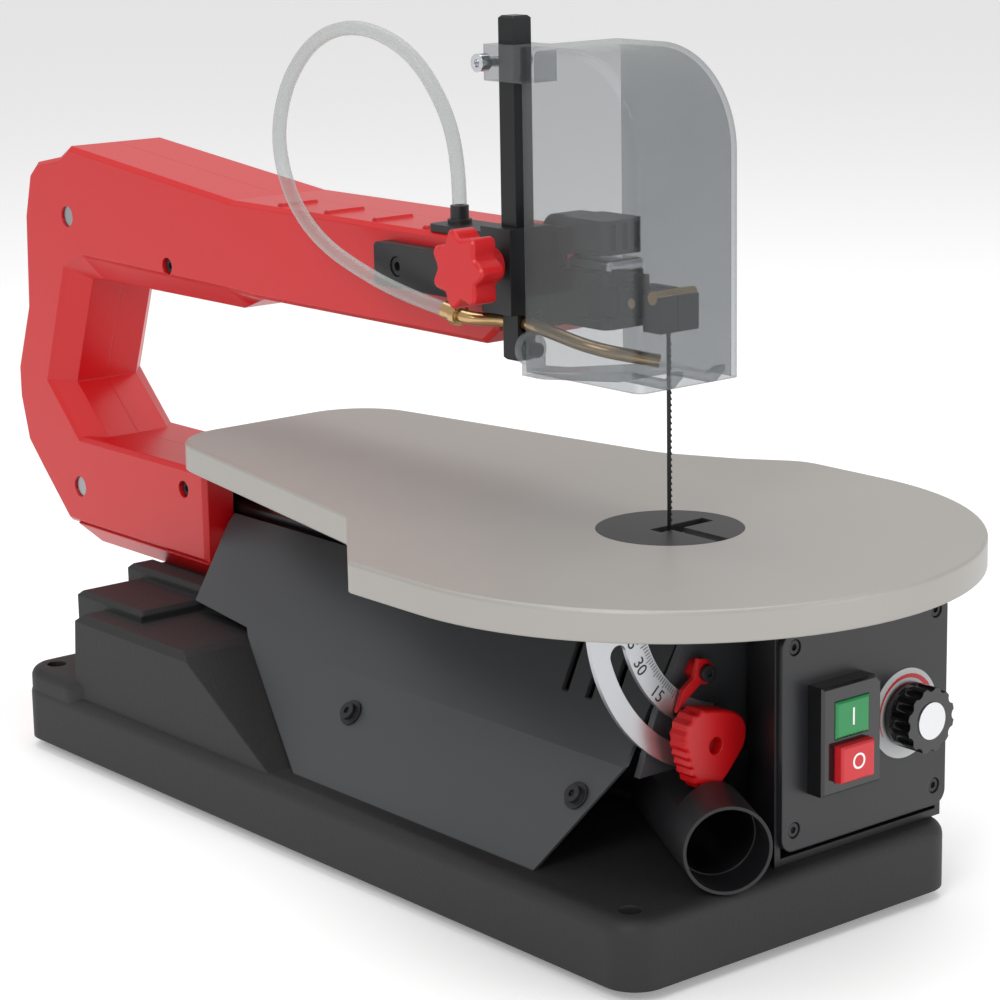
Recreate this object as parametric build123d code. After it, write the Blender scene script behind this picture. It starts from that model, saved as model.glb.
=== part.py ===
"""Scroll saw with a C-shaped arm housing, two parallel arms and a tilting table.

Millimetres, +Z up. Every piece is drawn about the blade: x = 0, y = 0 is the saw blade, +X faces
the operator, -Y is the operator's left, and z = 0 is the underside of the base casting. The export
moves all pieces so that the origin is the centre of the four bench bolt holes.
"""
from build123d import *
import math
import os

# ---------------------------------------------------------------- driving sizes
TABLE_TOP = 146.0          # table surface above the base's underside
PIVOT_DROP = 13.0          # tilt axis below the table surface
BOLT_FRONT = 64.0          # bench bolt holes, ahead of the blade
BOLT_REAR = -336.0
BOLT_LEFT = -80.0
BOLT_RIGHT = 70.0
BOLT_R = 4.5

BASE_FRONT = 78.0
BASE_REAR = -350.0
BASE_LEFT = -92.0
BASE_RIGHT = 82.0
BASE_H = 27.0
BASE_LIP_H = 34.0
BASE_WALL = 5.0
FOOT_H = 5.0

TABLE_R = 124.0
TABLE_REAR = -283.0
TABLE_RIM_H = 12.0
TABLE_RIM_W = 5.0
TABLE_PLATE = 5.0
INSERT_R = 29.0
INSERT_T = 4.0

STROKE = 18.0
ARM_PIVOT_X = -395.0       # both rocker pivots, behind the blade
UPPER_ARM_Z = TABLE_TOP + 88.0
LOWER_ARM_Z = TABLE_TOP - 45.0
HOLDER_PIVOT_X = -12.0
LINK_X = -427.0            # tension link joining the arms' rear ends
LOWER_LINK_Z = TABLE_TOP - 34.0  # the lower arm's tail is cranked upwards
ROD_X = -110.0             # where the connecting rod meets the lower arm
MOTOR_Z = 62.0
ARM_W = 18.0

SHELL_W = 27.0             # half width of the arm housing
SHELL_T = 2.5
BEVEL = 10.0               # depth of the bevel round the throat opening

GUARD_ROD = 9.0            # square bar
GUARD_ROD_X = -60.5
GUARD_ROD_Y = -24.5
ROD_BOTTOM = TABLE_TOP + 62.0
ROD_TOP = TABLE_TOP + 197.0

PANEL_X = 69.0
PANEL_T = 2.5
PANEL_Y = 36.0
PANEL_Z = TABLE_TOP - 70.0
PANEL_W = 91.0
PANEL_H = 86.5
PANEL_HOLE_W = 78.0
PANEL_HOLE_H = 72.0

SCALE_X = 35.0             # back face of the tilt scale
SCALE_T = 2.0
SCALE_RO = 75.7
SCALE_RI = 49.0
SLOT_R = 63.5
SLOT_W = 8.0
LOCK_DEG = 21.5            # lock bolt, measured from straight down towards the left

PORT_R = 17.2              # dust port outside radius
PORT_WALL = 1.8
PORT_SOCKET_R = 15.9       # socket for the vacuum hose's end
PORT_SOCKET_L = 18.0
PORT_MOUTH_X = 77.0
PORT_MOUTH_Y = -43.0
PORT_AIM = 62.0            # port direction, degrees from -Y towards +X

HOSE_R = 3.0

RUN = 0.05                 # radial clearance of a running fit
FIT = 0.02                 # radial clearance of a fixed pin or screw
GAP = 0.3                  # clearance between covers and moving pieces
SCREW_R = 2.0              # M4 screws

PIVOT_Z = TABLE_TOP - PIVOT_DROP
BLADE_AT = (-(BOLT_FRONT + BOLT_REAR) / 2, -(BOLT_LEFT + BOLT_RIGHT) / 2, 0)
ARM_SWING = math.atan((STROKE / 2) / -ARM_PIVOT_X)
CRANK_R = STROKE / 2 * (ROD_X - ARM_PIVOT_X) / -ARM_PIVOT_X


# ---------------------------------------------------------------- helpers
def up(dz):
    """Height of a point given above (or below) the table surface."""
    return TABLE_TOP + dz


def box(x0, x1, y0, y1, z0, z1):
    return Pos((x0 + x1) / 2, (y0 + y1) / 2, (z0 + z1) / 2) * Box(x1 - x0, y1 - y0, z1 - z0)


def rod_x(x0, x1, y, z, r):
    return Pos((x0 + x1) / 2, y, z) * Rot(0, 90, 0) * Cylinder(r, x1 - x0)


def rod_y(y0, y1, x, z, r):
    return Pos(x, (y0 + y1) / 2, z) * Rot(90, 0, 0) * Cylinder(r, y1 - y0)


def rod_z(z0, z1, x, y, r):
    return Pos(x, y, (z0 + z1) / 2) * Cylinder(r, z1 - z0)


def plate_xz(points, y0, y1):
    """Solid with an outline in x and z, between two y values."""
    face = make_face(Polyline([(x, y0, z) for x, z in points], close=True))
    return extrude(face, y1 - y0, dir=(0, 1, 0))


def plate_yz(points, x0, x1):
    face = make_face(Polyline([(x0, y, z) for y, z in points], close=True))
    return extrude(face, x1 - x0, dir=(1, 0, 0))


def plate_xy(points, z0, z1):
    face = make_face(Polyline([(x, y, z0) for x, y in points], close=True))
    return extrude(face, z1 - z0, dir=(0, 0, 1))


def inset(points, d):
    """Polygon with every side moved inwards by d; points run anticlockwise."""
    result = []
    n = len(points)
    for i in range(n):
        (ax, az), (bx, bz), (cx, cz) = points[i - 1], points[i], points[(i + 1) % n]
        l1, l2 = math.hypot(bx - ax, bz - az), math.hypot(cx - bx, cz - bz)
        n1 = (-(bz - az) / l1, (bx - ax) / l1)
        n2 = (-(cz - bz) / l2, (cx - bx) / l2)
        k = d / (1 + n1[0] * n2[0] + n1[1] * n2[1])
        result.append((bx + (n1[0] + n2[0]) * k, bz + (n1[1] + n2[1]) * k))
    return result


def loft_xz(points_a, y_a, points_b, y_b):
    """Solid between two outlines with the same number of corners."""
    a = make_face(Polyline([(x, y_a, z) for x, z in points_a], close=True))
    b = make_face(Polyline([(x, y_b, z) for x, z in points_b], close=True))
    return loft([a, b], ruled=True)


def screw_y(x, z, y_face, length, side, head_r=3.8, head_h=2.4):
    """Pan-head screw with its head on the face at y_face; side -1 looks to the left."""
    y_head = y_face + side * head_h
    y_tip = y_face - side * length
    head = rod_y(min(y_face, y_head), max(y_face, y_head), x, z, head_r)
    shank = rod_y(min(y_face, y_tip), max(y_face, y_tip), x, z, SCREW_R)
    slot = rod_y(min(y_head, y_head - side * 1.4), max(y_head, y_head - side * 1.4), x, z, 1.5)
    return head + shank - slot


def screw_x(y, z, x_face, length, head_r=2.8, head_h=2.0):
    """Pan-head screw that goes in from the front."""
    head = rod_x(x_face, x_face + head_h, y, z, head_r)
    shank = rod_x(x_face - length, x_face, y, z, SCREW_R)
    return head + shank - rod_x(x_face + head_h - 1.2, x_face + head_h, y, z, 1.3)


def group(solids):
    return Compound(children=[s for part in solids for s in part.solids()])


def rounded_block(x0, x1, y0, y1, z0, z1, corner, top):
    block = box(x0, x1, y0, y1, z0, z1)
    block = fillet(block.edges().filter_by(Axis.Z), corner)
    return fillet(block.faces().sort_by(Axis.Z)[-1].edges(), top)


# ---------------------------------------------------------------- base
BOLTS = [(x, y) for x in (BOLT_FRONT, BOLT_REAR) for y in (BOLT_LEFT, BOLT_RIGHT)]
FOOT_INSET_X = 27.0
FOOT_INSET_Y = 26.0
FEET = [(x, y) for x in (BASE_FRONT - FOOT_INSET_X, BASE_REAR + FOOT_INSET_X)
        for y in (BASE_LEFT + FOOT_INSET_Y, BASE_RIGHT - FOOT_INSET_Y)]
FOOT_STEM_R = 4.0
PED_TOP = up(-80)
SADDLE_Z = up(-73)
PED_STEPS = [                # pedestal steps: x0, x1, side inset, top
    (-324.0, -270.0, 18.0, PED_TOP + 5),
    (-334.0, -222.0, 52.0, SADDLE_Z + 3),
]
GLAND_Y = -50.0
GLAND_Z = 50.0
GLAND_R = 8.0


def base_casting():
    slab = rounded_block(BASE_REAR, BASE_FRONT, BASE_LEFT, BASE_RIGHT, 0, BASE_H, 14, 6)
    lip = rounded_block(BASE_REAR + 0.5, -296, BASE_LEFT + 0.5, BASE_RIGHT - 0.5, 10, BASE_LIP_H, 13.5, 5)
    left, right = BASE_LEFT + 4, BASE_RIGHT - 4
    pedestal = plate_xz([(-308, 15), (-152, 15), (-152, 26), (-218, PED_TOP), (-304, PED_TOP)],
                        left, right)
    pedestal = chamfer(pedestal.faces().sort_by(Axis.Z)[-1].edges(), 3)
    body = slab + lip + pedestal
    for x0, x1, side, top in PED_STEPS:
        step = box(x0, x1, BASE_LEFT + side, BASE_RIGHT - side, 15, top)
        body += chamfer(step.faces().sort_by(Axis.Z)[-1].edges(), 2)
    body -= box(-460, -280, -SHELL_W - GAP, SHELL_W + GAP, SADDLE_Z, SADDLE_Z + 30)
    w = BASE_WALL
    hollow = box(BASE_REAR + w, BASE_FRONT - w, BASE_LEFT + w, BASE_RIGHT - w, 0, BASE_H - w)
    hollow += box(-300, -226, BASE_LEFT + w + 9, BASE_RIGHT - w - 9, 0, PED_TOP - 6)
    for x in (-60.0, -180.0):
        hollow -= box(x - 2, x + 2, BASE_LEFT, BASE_RIGHT, 4, BASE_H)
    for x, y in BOLTS:
        hollow -= rod_z(0, BASE_H, x, y, BOLT_R + 6)
    for x, y in FEET:
        hollow -= rod_z(0, BASE_H, x, y, FOOT_STEM_R + 5)
    body -= hollow
    for x, y in BOLTS:
        body -= rod_z(-1, BASE_LIP_H + 1, x, y, BOLT_R)
    for x, y in FEET:
        body -= rod_z(-1, 10, x, y, FOOT_STEM_R)
    return body - rod_x(-345, -300, GLAND_Y, GLAND_Z, GLAND_R)


def rubber_feet():
    feet = []
    for x, y in FEET:
        foot = rod_z(-FOOT_H / 2, 0, x, y, 22) + rod_z(-FOOT_H, 0, x, y, 14)
        feet.append(foot + rod_z(0, 8, x, y, FOOT_STEM_R))
    return group(feet)


def cable_gland():
    x_face = -334.0
    body = rod_x(x_face - 4, x_face, GLAND_Y, GLAND_Z, 11) + rod_x(x_face - 14, x_face, GLAND_Y,
                                                                   GLAND_Z, 8.5)
    body += rod_x(x_face, -318, GLAND_Y, GLAND_Z, GLAND_R)
    return body - rod_x(x_face - 20, -300, GLAND_Y, GLAND_Z, 3.6)


# ---------------------------------------------------------------- arm housing
def shell_outline(throat):
    """C-shaped outline, anticlockwise in x and z; throat holds the opening's corners."""
    points = [(-407, up(-64)), (-286, up(-64)), (-286, up(-20))]
    points += throat
    points += [(-240, up(66)), (-80, up(66)), (-72, up(72)), (-72, up(108)), (-256, up(108)),
               (-391, up(122)), (-401, up(116)), (-422, up(112)), (-429, up(106)),
               (-435, up(85)), (-437, up(40)), (-449, up(8)), (-449, up(-7)), (-443, up(-29)),
               (-430, up(-42))]
    return points


THROAT_SIDE = [(-393, up(-20)), (-419, up(5)), (-399, up(62)), (-385, up(69)), (-262, up(67))]
THROAT_MID = [(-383, up(-20)), (-409.5, up(4)), (-390, up(57)), (-380, up(58)), (-262, up(58))]
SHELL_SCREWS = [(-309, up(73)), (-303, up(-31)), (-424, up(101)), (-436, up(-2))]
MOUTH_H = 18.0


def shell_half(heads, tips):
    """Left half of the housing; heads take the screw heads and tips the screws' threaded ends."""
    side, mid = shell_outline(THROAT_SIDE), shell_outline(THROAT_MID)
    rim = 2.0
    body = loft_xz(inset(side, rim), -SHELL_W, side, -SHELL_W + rim)
    body += loft_xz(side, -SHELL_W + rim, mid, -SHELL_W + BEVEL)
    body += plate_xz(mid, -SHELL_W + BEVEL, 0)
    keel = [(-400, up(-64)), (-286, up(-64)), (-286, up(-73)), (-390, up(-73))]
    body += plate_xz(keel, -SHELL_W + 8, 0)
    body += loft_xz([(-400, up(-64)), (-286, up(-64)), (-286, up(-64.5)), (-399, up(-64.5))],
                    -SHELL_W + 1, keel, -SHELL_W + 8)
    body -= plate_xz(inset(side, SHELL_T), -SHELL_W + SHELL_T, 0)
    mouth = ARM_W / 2 + 2
    body -= box(-80, -60, -mouth, 0, UPPER_ARM_Z - MOUTH_H, UPPER_ARM_Z + MOUTH_H - 1)
    body -= box(-290, -270, -mouth, 0, LOWER_ARM_Z - MOUTH_H, LOWER_ARM_Z + MOUTH_H)
    for x, z in heads + tips:
        body += rod_y(-SHELL_W + SHELL_T, 0, x, z, 4.6)
    for x, z in heads:
        body -= rod_y(-SHELL_W - 1, -SHELL_W + 4, x, z, 4.0)
        body -= rod_y(-SHELL_W, 0, x, z, SCREW_R + FIT)
    for x, z in tips:
        body -= rod_y(-1.5, 0, x, z, SCREW_R + FIT)
    for z in (UPPER_ARM_Z, LOWER_ARM_Z):
        body += rod_y(-SHELL_W + SHELL_T - 0.5, -ARM_W / 2 - GAP, ARM_PIVOT_X, z, 8)
        body -= rod_y(-SHELL_W - 1, 0, ARM_PIVOT_X, z, PIVOT_R + FIT)
    return body


def arm_shell_left():
    body = shell_half(SHELL_SCREWS[:2], SHELL_SCREWS[2:])
    for i in range(4):
        x = -226 + i * 34
        rib = [(x, up(107.5)), (x + 5, up(107.5)), (x + 4, up(109.3)), (x + 2, up(109.3))]
        body += plate_xz(rib, -SHELL_W + 4, -4)
    return body


def arm_shell_right():
    return mirror(shell_half(SHELL_SCREWS[2:], SHELL_SCREWS[:2]), Plane.XZ)


def arm_shell_screws():
    near = [screw_y(x, z, -SHELL_W + 4, 24, -1, head_r=3.4, head_h=2.2)
            for x, z in SHELL_SCREWS[:2]]
    far = [screw_y(x, z, SHELL_W - 4, 24, 1, head_r=3.4, head_h=2.2)
           for x, z in SHELL_SCREWS[2:]]
    return group(near + far)


# ---------------------------------------------------------------- arms
PIVOT_R = 5.0
BUSH_WALL = 2.0
LINK_ROD_R = 2.5
LINK_PIN_R = 1.5
ARM_SLOT = (ROD_X - 17, ROD_X + 17)
CONROD_T = 8.0
CONROD_BOLT_R = 3.0


def rocker_arm(z, link_z, tip, half_h, link_clear):
    """Bar from the link end through the pivot boss to the nose that holds the blade holder."""
    w = ARM_W / 2
    bar = plate_xz([(LINK_X, link_z - 3), (ARM_PIVOT_X - 8, z - 7), (ARM_PIVOT_X + 10, z - 7),
                    (tip, z - half_h), (tip, z + half_h), (ARM_PIVOT_X + 10, z + 7),
                    (ARM_PIVOT_X - 8, z + 7), (LINK_X, link_z + 3)], -w, w)
    bar += rod_y(-w, w, LINK_X, link_z, 3.5)
    bar += rod_y(-w, w, ARM_PIVOT_X, z, 10)
    bar -= rod_y(-w, w, ARM_PIVOT_X, z, PIVOT_R + BUSH_WALL + RUN)
    bar -= box(LINK_X - 8, LINK_X + 9, -3.5, 3.5, link_z - 12, link_z + 14)
    bar -= rod_y(-w, w, LINK_X, link_z, LINK_PIN_R + link_clear)
    for side in (-1, 1):
        y0, y1 = sorted((side * (w - 4), side * (w + 1)))
        bar -= plate_xz([(-350, z - 3.5), (-150, z - 3), (-150, z + 3), (-350, z + 3.5)], y0, y1)
    return bar


NOSE_T = 9.0
HOLDER_PIN_R = 2.0


def nose(z):
    """Narrow end of an arm, with the bore of the holder's pivot pin."""
    body = box(-30, HOLDER_PIVOT_X, -NOSE_T / 2, NOSE_T / 2, z - 6, z + 6)
    body += rod_y(-NOSE_T / 2, NOSE_T / 2, HOLDER_PIVOT_X, z, 6)
    return body - rod_y(-NOSE_T, NOSE_T, HOLDER_PIVOT_X, z, HOLDER_PIN_R + RUN)


HEAD_X0 = -66.0
HEAD_X1 = -24.0
HEAD_Z0 = up(76)
HEAD_Z1 = up(98)
LEVER_PIN_X = -58.0
LEVER_PIN_Z = HEAD_Z1 + 12.0
LEVER_PIN_R = 2.5


def upper_arm():
    body = rocker_arm(UPPER_ARM_Z, UPPER_ARM_Z, -60, 6, RUN)
    head = box(HEAD_X0, HEAD_X1, -11, 11, HEAD_Z0, HEAD_Z1)
    head = fillet(head.edges().filter_by(Axis.Z), 4)
    head -= box(-40, HEAD_X1 + 1, -12, -5, up(80), up(93))
    head -= box(-40, HEAD_X1 + 1, 5, 12, up(80), up(93))
    for side in (-1, 1):
        y0, y1 = sorted((side * 7.5, side * 11))
        head += box(-64, -52, y0, y1, HEAD_Z1 - 2, LEVER_PIN_Z + 4)
    head += rod_y(-11, 11, LEVER_PIN_X, LEVER_PIN_Z, LEVER_PIN_R)
    return body + head + nose(UPPER_ARM_Z)


def lower_arm():
    body = rocker_arm(LOWER_ARM_Z, LOWER_LINK_Z, -22, 7, 2 * GAP)
    body -= box(*ARM_SLOT, -CONROD_T / 2 - 0.5, CONROD_T / 2 + 0.5, LOWER_ARM_Z - 20,
                LOWER_ARM_Z + 20)
    body -= rod_y(-ARM_W, ARM_W, ROD_X, LOWER_ARM_Z, CONROD_BOLT_R + FIT)
    return body + nose(LOWER_ARM_Z)


def conrod_pins():
    """The connecting rod's small-end pin, opened in the middle so the rod runs clear."""
    w, inner = ARM_W / 2, CONROD_T / 2 + 0.5
    return group([rod_y(-w, -inner, ROD_X, LOWER_ARM_Z, CONROD_BOLT_R),
                  rod_y(inner, w, ROD_X, LOWER_ARM_Z, CONROD_BOLT_R)])


def arm_bushes():
    return group([rod_y(-ARM_W / 2 - GAP, ARM_W / 2 + GAP, ARM_PIVOT_X, z, PIVOT_R + BUSH_WALL)
                  - rod_y(-ARM_W, ARM_W, ARM_PIVOT_X, z, PIVOT_R + FIT)
                  for z in (UPPER_ARM_Z, LOWER_ARM_Z)])


def arm_pivot_pins():
    return group([rod_y(-SHELL_W + 1, SHELL_W - 1, ARM_PIVOT_X, z, PIVOT_R)
                  for z in (UPPER_ARM_Z, LOWER_ARM_Z)])


def tension_link():
    """Rod behind the pivots that ties the arms' rear ends together, with a cross pin at each end."""
    body = rod_z(LOWER_LINK_Z, UPPER_ARM_Z, LINK_X, 0, LINK_ROD_R)
    for z in (UPPER_ARM_Z, LOWER_LINK_Z):
        body += rod_y(-3, 3, LINK_X, z, 3.5)
        body += rod_y(-ARM_W / 2, ARM_W / 2, LINK_X, z, LINK_PIN_R)
    return body


def tension_lever():
    """Cam lever on top of the upper arm's head, lying forwards when the blade is tight."""
    x, z = LEVER_PIN_X, LEVER_PIN_Z
    body = rod_y(-7, 7, x, z, 8.5)
    grip = box(x, HEAD_X1 - 1, -10.5, 10.5, z - 5, z + 8.5)
    grip -= box(x - 2, x + 8, -12, -7, z - 9, z + 9)
    grip -= box(x - 2, x + 8, 7, 12, z - 9, z + 9)
    grip = fillet(grip.faces().sort_by(Axis.X)[-1].edges().filter_by(Axis.Z), 4)
    for i in range(3):
        grip -= box(HEAD_X1 - 3.5, HEAD_X1, -7.5 + i * 6, -4.5 + i * 6, z - 3.5, z + 7)
    for side in (-1, 1):
        y0, y1 = sorted((side * 9.3, side * 11))
        grip -= box(-41, -29, y0, y1, z - 3, z + 6.5)
    return body + grip - rod_y(-12, 12, x, z, LEVER_PIN_R + RUN)


def tension_washer():
    """Polished strap that the cam presses on."""
    strap = box(-49, HEAD_X1 + 0.5, -9.5, 9.5, HEAD_Z1, HEAD_Z1 + 5)
    return fillet(strap.edges(), 2)


# ---------------------------------------------------------------- blade and holders
BLADE_W = 2.6
BLADE_T = 0.5
BLADE_TOP = up(86)
BLADE_LEN = 127.0
TOOTH_PITCH = 2.4
TOOTH_H = 0.8
JAW_GAP = BLADE_T + 0.2


def saw_blade():
    z0 = BLADE_TOP - BLADE_LEN
    back, front = -BLADE_W / 2, BLADE_W / 2 - TOOTH_H
    points = [(back, BLADE_TOP), (back, z0), (front, z0), (front, z0 + 10)]
    teeth = int((BLADE_LEN - 20) / TOOTH_PITCH)
    for i in range(teeth):
        z = z0 + 10 + i * TOOTH_PITCH
        points += [(front + TOOTH_H, z + 0.4), (front, z + 1.5), (front, z + TOOTH_PITCH)]
    points.append((front, BLADE_TOP))
    return plate_xz(points, -BLADE_T / 2, BLADE_T / 2)


def holder(z, jaw_z0, jaw_z1, cross_z):
    """Fork on the arm's nose, and a cross bar that clamps the blade's end at x = 0."""
    gap = NOSE_T / 2 + GAP
    body = box(HOLDER_PIVOT_X - 6, -4, -8.5, 8.5, z - 5.5, z + 5.5)
    body -= box(HOLDER_PIVOT_X - 8, HOLDER_PIVOT_X + 6.5, -gap, gap, z - 8, z + 8)
    body += box(-5, 5, -9, 11, min(jaw_z0, z - 4), max(jaw_z1, z + 4))
    body -= box(-2.2, 6, -JAW_GAP / 2, JAW_GAP / 2, jaw_z0 - 1, jaw_z1 + 1)
    body -= rod_y(-11, 13, 0.8, cross_z, 2.6 + FIT)
    return body - rod_y(-10, 10, HOLDER_PIVOT_X, z, HOLDER_PIN_R + FIT)


UP_JAW = (up(78), up(92))
LOW_JAW = (up(-52), up(-39))


def upper_blade_holder():
    return holder(UPPER_ARM_Z, *UP_JAW, up(91.5)) - rod_z(up(84), up(95), -8.0, -6.8, SCREW_R + FIT)


def lower_blade_holder():
    return holder(LOWER_ARM_Z, *LOW_JAW, up(-50))


def holder_cross_pin(cross_z):
    near = rod_y(-9.5, -JAW_GAP / 2, 0.8, cross_z, 2.6)
    far = rod_y(JAW_GAP / 2, 12, 0.8, cross_z, 2.6)
    return group([near, far])


def holder_pin(z):
    return rod_y(-8.5, 8.5, HOLDER_PIVOT_X, z, HOLDER_PIN_R)


def blade_clamp_screw():
    z = up(93.5)
    body = rod_z(z, z + 6, -8.0, -6.8, 3.0) + rod_z(up(84.5), z, -8.0, -6.8, SCREW_R)
    return body - rod_z(z + 3, z + 6, -8.0, -6.8, 1.4)


# ---------------------------------------------------------------- motor and crank
MOTOR_R = 33.0
MOTOR_Y = (18.0, 66.0)
SHAFT_R = 4.0
CRANK_PIN_R = 4.0
BEARING_R = 9.0
FRAME_Y = (14.0, 17.0)
PIN_X = ROD_X + CRANK_R


def motor_body():
    y0, y1 = MOTOR_Y
    body = rod_y(y0, y1, ROD_X, MOTOR_Z, MOTOR_R)
    body = fillet(body.edges().sort_by(Axis.Y)[-1], 4)
    body -= rod_y(y0 + 3, y1 - 3, ROD_X, MOTOR_Z, MOTOR_R - 3)
    body -= rod_y(y0 - 1, y1 + 1, ROD_X, MOTOR_Z, SHAFT_R + RUN)
    for i in range(8):
        vent = box(ROD_X - 2, ROD_X + 2, y0 + 8, y1 - 12, MOTOR_Z + MOTOR_R - 8, MOTOR_Z + MOTOR_R + 2)
        body -= vent.rotate(Axis((ROD_X, 0, MOTOR_Z), (0, 1, 0)), 22.5 + 45 * i)
    return body


def motor_stator():
    y0, y1 = MOTOR_Y
    return rod_y(y0 + 6, y1 - 6, ROD_X, MOTOR_Z, MOTOR_R - 3) - rod_y(y0, y1, ROD_X, MOTOR_Z, 21)


def motor_rotor():
    y0, y1 = MOTOR_Y
    body = rod_y(y0 + 7, y1 - 7, ROD_X, MOTOR_Z, 20) - rod_y(y0, y1, ROD_X, MOTOR_Z, SHAFT_R)
    return body


def crank_shaft():
    """Motor shaft with the crank disc and its offset pin."""
    body = rod_y(9, MOTOR_Y[1] + 8, ROD_X, MOTOR_Z, SHAFT_R)
    body += rod_y(5, 10, ROD_X, MOTOR_Z, 13)
    return body + rod_y(-CONROD_T / 2 - 1, 5, PIN_X, MOTOR_Z, CRANK_PIN_R)


def motor_fan():
    y0 = MOTOR_Y[1] + 1.5
    fan = rod_y(y0, y0 + 1.5, ROD_X, MOTOR_Z, 24) + rod_y(y0, y0 + 5, ROD_X, MOTOR_Z, 8)
    for i in range(9):
        vane = box(ROD_X - 0.8, ROD_X + 0.8, y0 + 1, y0 + 5, MOTOR_Z + 6, MOTOR_Z + 23)
        fan += vane.rotate(Axis((ROD_X, 0, MOTOR_Z), (0, 1, 0)), 40 * i)
    return fan - rod_y(y0 - 1, y0 + 6, ROD_X, MOTOR_Z, SHAFT_R)


def connecting_rod():
    t = CONROD_T / 2
    body = rod_y(-t, t, PIN_X, MOTOR_Z, BEARING_R + 3.5) + rod_y(-t, t, PIN_X, LOWER_ARM_Z, 7)
    body += box(PIN_X - 4, PIN_X + 4, -t, t, MOTOR_Z + BEARING_R, LOWER_ARM_Z - 3)
    body -= rod_y(-t, t, PIN_X, MOTOR_Z, CRANK_PIN_R + RUN)
    return body - rod_y(-t, t, PIN_X, LOWER_ARM_Z, CONROD_BOLT_R + 1)


# ---------------------------------------------------------------- body frame and covers
def frame_plate():
    """Upright plate that carries the motor and joins the two cross plates."""
    y0, y1 = FRAME_Y
    body = box(-134, 30, y0, y1, BASE_H, up(-24))
    body += box(-134, 30, y0 - 12, y1, BASE_H, BASE_H + 3)
    body -= rod_y(y0 - 1, y1 + 1, ROD_X, MOTOR_Z, SHAFT_R + 4)
    body -= box(-60, -10, y0 - 1, y1 + 1, BASE_H + 15, up(-45))
    return body


def cross_outline():
    """Outline in y and z of a cross plate, below the table's path as it tilts."""
    return [(-16, BASE_H), (FRAME_Y[1], BASE_H), (FRAME_Y[1], PIVOT_Z - 4), (4.5, PIVOT_Z + 5.5),
            (-4.5, PIVOT_Z + 5.5), (-9, PIVOT_Z - 3), (-9.5, up(-43)), (-16, up(-49))]


TABLE_PIN_R = 4.0
REAR_PLATE = (-138.0, -134.0)
FRONT_PLATE = (30.0, 33.0)


def rear_cross_plate():
    x0, x1 = REAR_PLATE
    body = plate_yz(cross_outline(), x0, x1)
    body -= box(x0 - 1, x1 + 1, -ARM_W / 2 - 3, ARM_W / 2 + 3, LOWER_ARM_Z - 20, LOWER_ARM_Z + 20)
    return body - rod_x(x0 - 1, x1 + 1, 0, PIVOT_Z, TABLE_PIN_R)


def front_plate():
    """Dark sheet between the side cover and the switch box, with the tilt lock's welded nut block."""
    x0, x1 = FRONT_PLATE
    outline = [(-47, up(-84)), (40, up(-84)), (40, up(-30)), (12, up(-18)), (4.5, PIVOT_Z + 5.5),
               (-4.5, PIVOT_Z + 5.5), (-9, PIVOT_Z - 3), (-22, up(-32)), (-38, up(-60.5))]
    body = plate_yz(outline, x0, x1)
    body += box(x0 - 1.5, x0 + 1.5, 24, 40, BASE_H, up(-83))
    y, z = lock_at()
    body += box(x0 - 6, x0, y - 6, y + 6, z - 6, z + 6)
    body -= rod_x(x0 - 1, x1 + 1, 0, PIVOT_Z, TABLE_PIN_R)
    body -= rod_x(x0 - 1, x1 + 1, *POINTER_SCREW, SCREW_R + FIT)
    return body - rod_x(x0 - 7, x1 + 1, y, z, LOCK_BOLT_R + RUN)


def table_pivot_pins():
    return group([rod_x(FRONT_PLATE[0], 47, 0, PIVOT_Z, TABLE_PIN_R),
                  rod_x(REAR_PLATE[0], -117, 0, PIVOT_Z, TABLE_PIN_R)])


BOX_X0 = SCALE_X + SCALE_T + 1.5
BOX_TOP = up(-27)


BOX_SLANT = 16.0           # how far the left side leans away from the tilt lock


def switch_box():
    """Moulded box behind the control panel, open to the front."""
    y0, y1 = PANEL_Y - PANEL_W / 2 - 1.5, PANEL_Y + PANEL_W / 2
    body = plate_xy([(BOX_X0, y0 + BOX_SLANT), (PANEL_X, y0), (PANEL_X, y1), (BOX_X0, y1)],
                    BASE_H, BOX_TOP)
    body -= plate_xy([(BOX_X0 + 3, y0 + BOX_SLANT + 2), (PANEL_X + 1, y0 + 2.6), (PANEL_X + 1, y1 - 3),
                      (BOX_X0 + 3, y1 - 3)], BASE_H + 3, BOX_TOP - 3)
    for y, z in PANEL_HOLES[2:]:
        body += rod_x(PANEL_X - 12, PANEL_X, y, z, 4)
        body -= rod_x(PANEL_X - 13, PANEL_X + 1, y, z, SCREW_R + FIT)
    return body


PANEL_HOLES = [(PANEL_Y + sy * PANEL_HOLE_W / 2, PANEL_Z + 1 + sz * PANEL_HOLE_H / 2)
               for sy in (-1, 1) for sz in (-1, 1)]
SWITCH = (4.0, 36.0, up(-92), up(-49))
SWITCH_X = (PANEL_X + PANEL_T, PANEL_X + PANEL_T + 8)
START = (10.5, 28.5, up(-70), up(-55.5))
STOP = (10.5, 28.5, up(-87), up(-72.5))
DIAL_Y = 57.5
DIAL_Z = up(-71.3)
DIAL_R = 18.0
KNOB_R = 13.0
KNOB_X = (PANEL_X + PANEL_T + 1.5, PANEL_X + PANEL_T + 14.5)
BUTTON_TRAVEL = 3.0
SPINDLE_R = 3.0


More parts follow.
